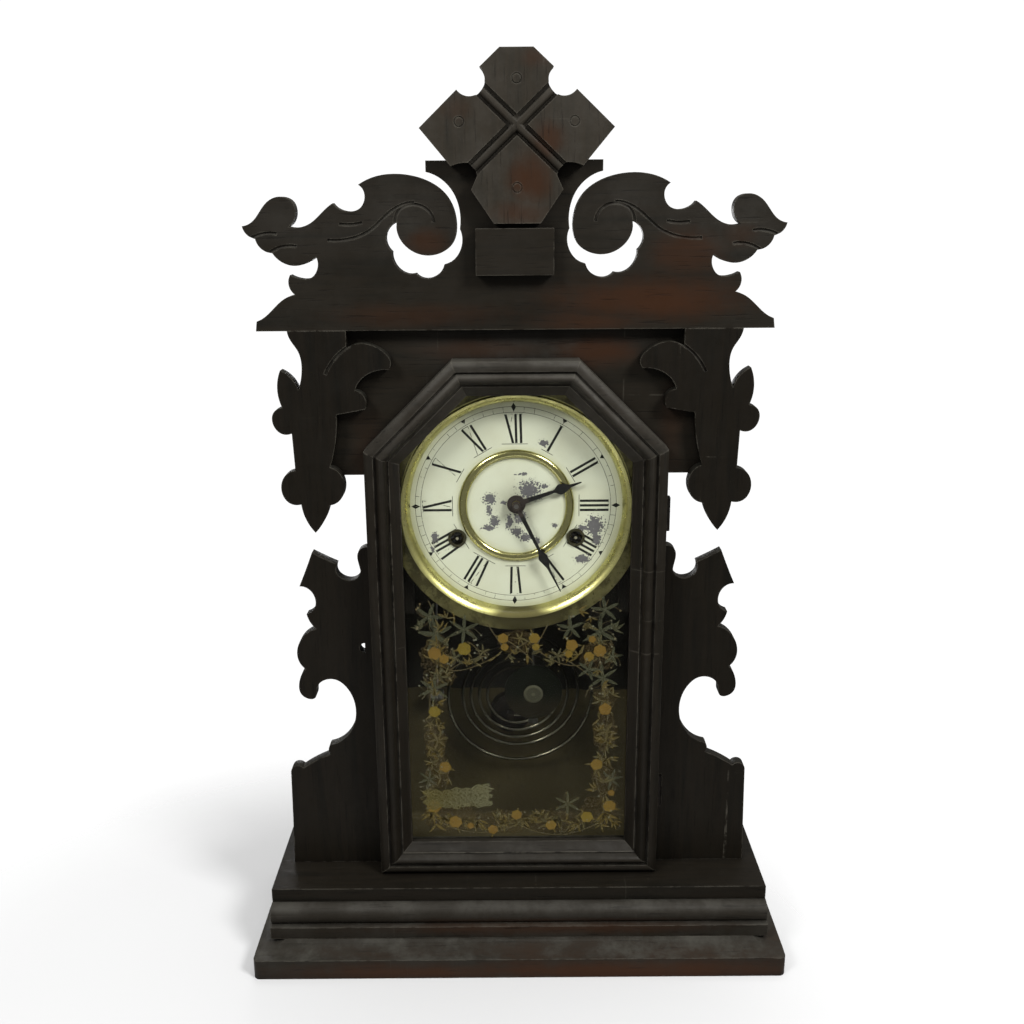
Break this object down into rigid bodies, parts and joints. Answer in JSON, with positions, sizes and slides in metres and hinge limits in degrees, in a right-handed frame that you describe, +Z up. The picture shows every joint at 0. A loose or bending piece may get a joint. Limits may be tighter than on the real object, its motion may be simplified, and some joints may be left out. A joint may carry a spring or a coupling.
{
  "type": "mantel clock",
  "caption": "Wooden shelf clock with scroll-cut crest and side brackets, hinged glazed door, round dial, key-wound movement, pendulum and coiled gong.",
  "frame": {"origin": "middle of the underside of the base board", "axes": "+X to the clock's right as seen from the front, +Y to the back, +Z up"},
  "size_m": [0.342, 0.125, 0.561],
  "materials": {
    "dark_wood": "old dark shellac, satin",
    "plain_wood": "bare, aged",
    "dial_paint": "worn ivory paint",
    "brass": "tarnished",
    "steel": "dull",
    "iron": "rough",
    "painted_glass": "clear with a painted floral border",
    "black_paint": "blued black"
  },
  "bodies": {
    "case": {"base_board": "dark_wood", "base_front_moulding": "dark_wood", "plinth_top_board": "dark_wood", "plinth_rails": "dark_wood", "case_side_left": "dark_wood", "case_side_right": "dark_wood", "case_top_board": "dark_wood", "back_board": "plain_wood", "head_panel": "dark_wood", "crest_board": "dark_wood", "finial_carving": "dark_wood", "crest_block": "dark_wood", "upper_ear_left": "dark_wood", "upper_ear_right": "dark_wood", "lower_ear_left": "dark_wood", "lower_ear_right": "dark_wood", "glue_blocks": "dark_wood", "inner_battens": "plain_wood", "dial_plate": "dial_paint", "dial_bezel": "brass", "dial_centre_ring": "brass", "winding_grommets": "brass", "wood_screws": "steel", "hinge_case_leaves": "brass", "gong_base": "iron", "gong_coil": "steel", "gong_screw": "steel", "front_plate": "brass", "back_plate": "brass", "plate_pillars": "steel", "mainsprings": "steel"},
    "door": {"door_stile_left": "dark_wood", "door_stile_right": "dark_wood", "door_bottom_rail": "dark_wood", "door_top_rail": "dark_wood", "door_diagonals": "dark_wood", "door_glass": "painted_glass", "glazing_strips": "dark_wood", "hinge_door_leaves": "brass", "door_catch": "brass"},
    "minute": {"hand_arbor": "steel", "minute_hand": "black_paint", "hand_nut": "brass"},
    "motion": {"minute_wheel": "brass"},
    "hour": {"hour_wheel": "brass", "hour_hand": "black_paint"},
    "time_main": {"time_main_wheel": "brass"},
    "time_second": {"second_wheel": "brass"},
    "time_centre": {"centre_wheel": "brass"},
    "time_third": {"third_wheel": "brass"},
    "escape": {"escape_wheel": "brass"},
    "strike_main": {"strike_main_wheel": "brass"},
    "pin_wheel": {"strike_pin_wheel": "brass"},
    "fly": {"strike_fly": "brass"},
    "time_key": {"time_winding_arbor": "steel"},
    "strike_key": {"strike_winding_arbor": "steel"},
    "pendulum": {"pendulum_rod": "steel", "pendulum_bob": "brass"},
    "verge": {"verge": "steel"},
    "hammer": {"gong_hammer": "steel"}
  },
  "joints": [
    {"name": "door_hinge", "type": "hinge", "parent": "case", "child": "door", "pos_m": [0.0938, -0.003, 0.19], "axis": [0, 0, 1], "range_deg": [0, 60]},
    {"name": "minute_turn", "type": "hinge", "parent": "case", "child": "minute", "pos_m": [0, 0, 0.2985], "axis": [0, 1, 0], "continuous": true},
    {"name": "motion_turn", "type": "hinge", "parent": "case", "child": "motion", "pos_m": [-0.009, 0.01, 0.2985], "axis": [0, 1, 0], "continuous": true},
    {"name": "hour_turn", "type": "hinge", "parent": "case", "child": "hour", "pos_m": [0, 0.005, 0.2985], "axis": [0, 1, 0], "continuous": true},
    {"name": "escape_turn", "type": "hinge", "parent": "case", "child": "escape", "pos_m": [0.0105, 0.03, 0.3235], "axis": [0, 1, 0], "continuous": true},
    {"name": "third_turn", "type": "hinge", "parent": "case", "child": "time_third", "pos_m": [-0.00606, 0.03, 0.31684], "axis": [0, 1, 0], "continuous": true},
    {"name": "centre_turn", "type": "hinge", "parent": "case", "child": "time_centre", "pos_m": [0, 0.03, 0.2985], "axis": [0, 1, 0], "continuous": true},
    {"name": "second_turn", "type": "hinge", "parent": "case", "child": "time_second", "pos_m": [0.00933, 0.03, 0.28081], "axis": [0, 1, 0], "continuous": true},
    {"name": "main_turn", "type": "hinge", "parent": "case", "child": "time_main", "pos_m": [0.0374, 0.03, 0.2759], "axis": [0, 1, 0], "continuous": true},
    {"name": "pin_wheel_turn", "type": "hinge", "parent": "case", "child": "pin_wheel", "pos_m": [-0.03998, 0.03, 0.30428], "axis": [0, 1, 0], "continuous": true},
    {"name": "strike_main_turn", "type": "hinge", "parent": "case", "child": "strike_main", "pos_m": [-0.0374, 0.03, 0.2759], "axis": [0, 1, 0], "continuous": true},
    {"name": "fly_turn", "type": "hinge", "parent": "case", "child": "fly", "pos_m": [-0.03998, 0.03, 0.32243], "axis": [0, 1, 0], "continuous": true},
    {"name": "time_winding", "type": "hinge", "parent": "case", "child": "time_key", "pos_m": [0.0374, 0.03, 0.2759], "axis": [0, 1, 0], "continuous": true},
    {"name": "strike_winding", "type": "hinge", "parent": "case", "child": "strike_key", "pos_m": [-0.0374, 0.03, 0.2759], "axis": [0, 1, 0], "continuous": true},
    {"name": "pendulum_swing", "type": "hinge", "parent": "case", "child": "pendulum", "pos_m": [0.0105, 0.008, 0.3485], "axis": [0, 1, 0], "range_deg": [-2.5, 2.5]},
    {"name": "verge_rock", "type": "hinge", "parent": "case", "child": "verge", "pos_m": [0.0105, 0.012, 0.3385], "axis": [0, 1, 0], "range_deg": [-3.6, 3.6]},
    {"name": "hammer_lift", "type": "hinge", "parent": "case", "child": "hammer", "pos_m": [-0.054, 0.03, 0.252], "axis": [0, 1, 0], "range_deg": [-1, 8]}
  ],
  "couplings": [
    {"joint": "motion_turn", "follows": "minute_turn", "ratio": -0.33333},
    {"joint": "hour_turn", "follows": "minute_turn", "ratio": 0.083333},
    {"joint": "third_turn", "follows": "escape_turn", "ratio": -0.1039},
    {"joint": "centre_turn", "follows": "escape_turn", "ratio": 0.0098949},
    {"joint": "second_turn", "follows": "escape_turn", "ratio": -0.0014136},
    {"joint": "main_turn", "follows": "escape_turn", "ratio": 0.00018538},
    {"joint": "strike_main_turn", "follows": "pin_wheel_turn", "ratio": -0.13115},
    {"joint": "fly_turn", "follows": "pin_wheel_turn", "ratio": -7.25},
    {"joint": "verge_rock", "follows": "pendulum_swing", "ratio": 1.3704}
  ]
}
